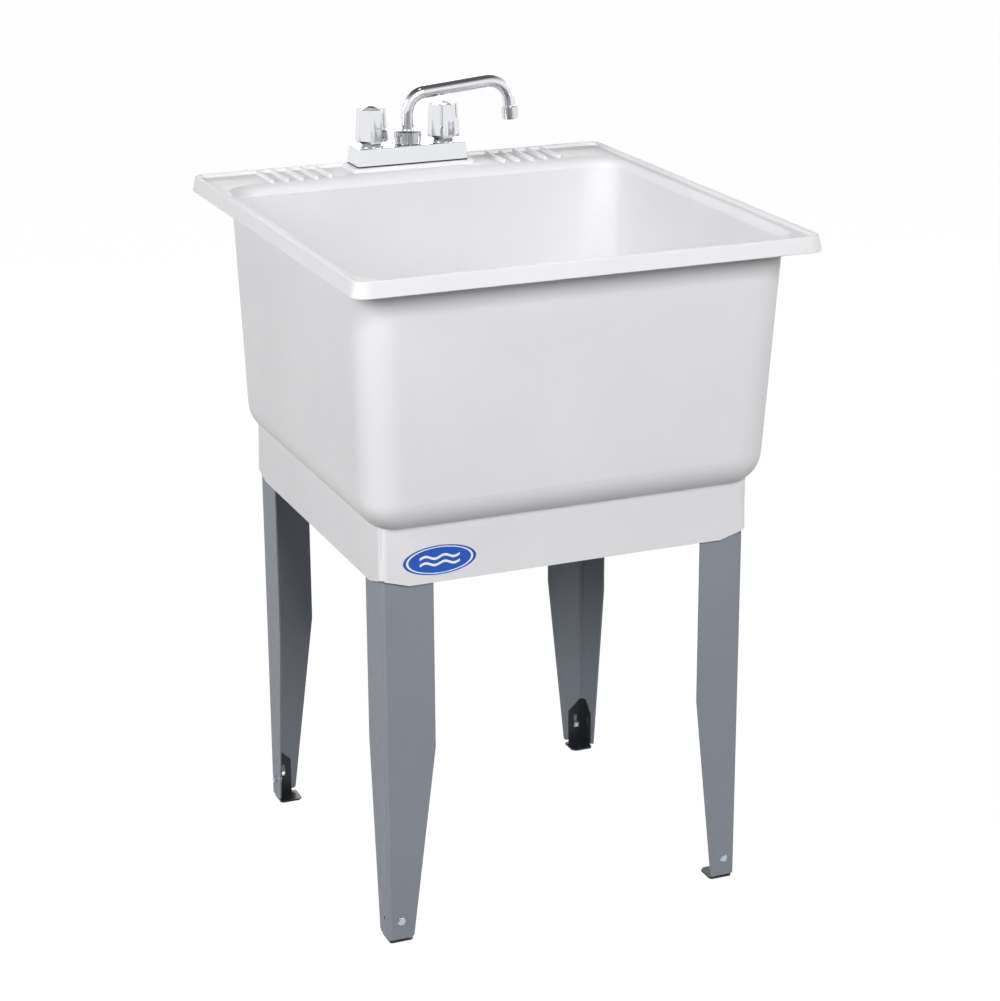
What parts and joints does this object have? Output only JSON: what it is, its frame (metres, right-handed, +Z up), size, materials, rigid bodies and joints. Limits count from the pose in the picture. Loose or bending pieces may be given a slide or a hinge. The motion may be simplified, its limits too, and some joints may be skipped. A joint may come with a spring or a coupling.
{
  "type": "utility laundry sink",
  "caption": "Free-standing white laundry tub on four grey bent-steel legs with black levelling feet, with a chrome two-handle deck faucet and swing spout.",
  "frame": {"origin": "on the floor under the middle of the rim", "axes": "+X to the right along the front edge, +Y from the front towards the wall and the faucet, +Z up"},
  "size_m": [0.5846, 0.6456, 0.9647],
  "materials": {
    "tub_plastic": "fine satin, white moulded plastic",
    "leg_paint": "grey baked enamel, satin",
    "foot_paint": "black, semi-gloss",
    "zinc": "bright zinc plate",
    "zinc_nut": "bright zinc plate",
    "drain_steel": "satin stainless steel",
    "black_rubber": "matt",
    "slip_paper": "waxed fibre",
    "white_nut_plastic": "satin",
    "stopper_rubber": "matt",
    "base_gasket": "matt",
    "brass": "turned, unpolished",
    "cover_chrome": "polished",
    "bonnet_metal": "polished",
    "handle_chrome": "polished",
    "cap_chrome": "satin",
    "screw_steel": "plain",
    "nut_chrome": "polished, fluted",
    "spout_chrome": "polished",
    "outlet_chrome": "polished",
    "nylon": "satin",
    "zinc_washer": "bright zinc plate",
    "badge_vinyl": "gloss printed vinyl, no lettering"
  },
  "bodies": {
    "sink": {"tub": "tub_plastic", "leg_front_left": "leg_paint", "leg_front_right": "leg_paint", "leg_rear_left": "leg_paint", "leg_rear_right": "leg_paint", "foot_screws": "zinc", "foot_nuts": "zinc_nut", "drain_body": "drain_steel", "drain_gasket": "black_rubber", "drain_slip_washer": "slip_paper", "drain_locknut": "white_nut_plastic", "faucet_gasket": "base_gasket", "faucet_body": "brass", "faucet_cover": "cover_chrome", "bonnet_hot": "bonnet_metal", "bonnet_cold": "bonnet_metal", "spout_nut": "nut_chrome", "spout_slip_ring": "nylon", "shank_washers": "zinc_washer", "shank_nuts": "white_nut_plastic", "badge": "badge_vinyl"},
    "hot_handle": {"stem_hot": "brass", "handle_hot": "handle_chrome", "handle_screw_hot": "screw_steel", "handle_cap_hot": "cap_chrome"},
    "cold_handle": {"stem_cold": "brass", "handle_cold": "handle_chrome", "handle_screw_cold": "screw_steel", "handle_cap_cold": "cap_chrome"},
    "swing_spout": {"spout": "spout_chrome", "spout_oring": "black_rubber", "outlet": "outlet_chrome", "outlet_screen": "nylon"},
    "drain_stopper": {"stopper": "stopper_rubber"},
    "levelling_foot_front_left": {"foot_front_left": "foot_paint"},
    "levelling_foot_front_right": {"foot_front_right": "foot_paint"},
    "levelling_foot_rear_left": {"foot_rear_left": "foot_paint"},
    "levelling_foot_rear_right": {"foot_rear_right": "foot_paint"}
  },
  "joints": [
    {"name": "hot_turn", "type": "hinge", "parent": "sink", "child": "hot_handle", "pos_m": [-0.0508, 0.29, 0.9], "axis": [0, 0, 1], "range_deg": [0, 90]},
    {"name": "cold_turn", "type": "hinge", "parent": "sink", "child": "cold_handle", "pos_m": [0.0508, 0.29, 0.9], "axis": [0, 0, 1], "range_deg": [-90, 0]},
    {"name": "spout_swing", "type": "hinge", "parent": "sink", "child": "swing_spout", "pos_m": [0, 0.29, 0.9], "axis": [0, 0, 1], "continuous": true},
    {"name": "stopper_lift", "type": "slide", "parent": "sink", "child": "drain_stopper", "axis": [0, 0, 1], "range_m": [0, 0.3]},
    {"name": "level_front_left", "type": "slide", "parent": "sink", "child": "levelling_foot_front_left", "axis": [0, 0, -1], "range_m": [0, 0.012]},
    {"name": "level_front_right", "type": "slide", "parent": "sink", "child": "levelling_foot_front_right", "axis": [0, 0, -1], "range_m": [0, 0.012]},
    {"name": "level_rear_left", "type": "slide", "parent": "sink", "child": "levelling_foot_rear_left", "axis": [0, 0, -1], "range_m": [0, 0.012]},
    {"name": "level_rear_right", "type": "slide", "parent": "sink", "child": "levelling_foot_rear_right", "axis": [0, 0, -1], "range_m": [0, 0.012]}
  ]
}
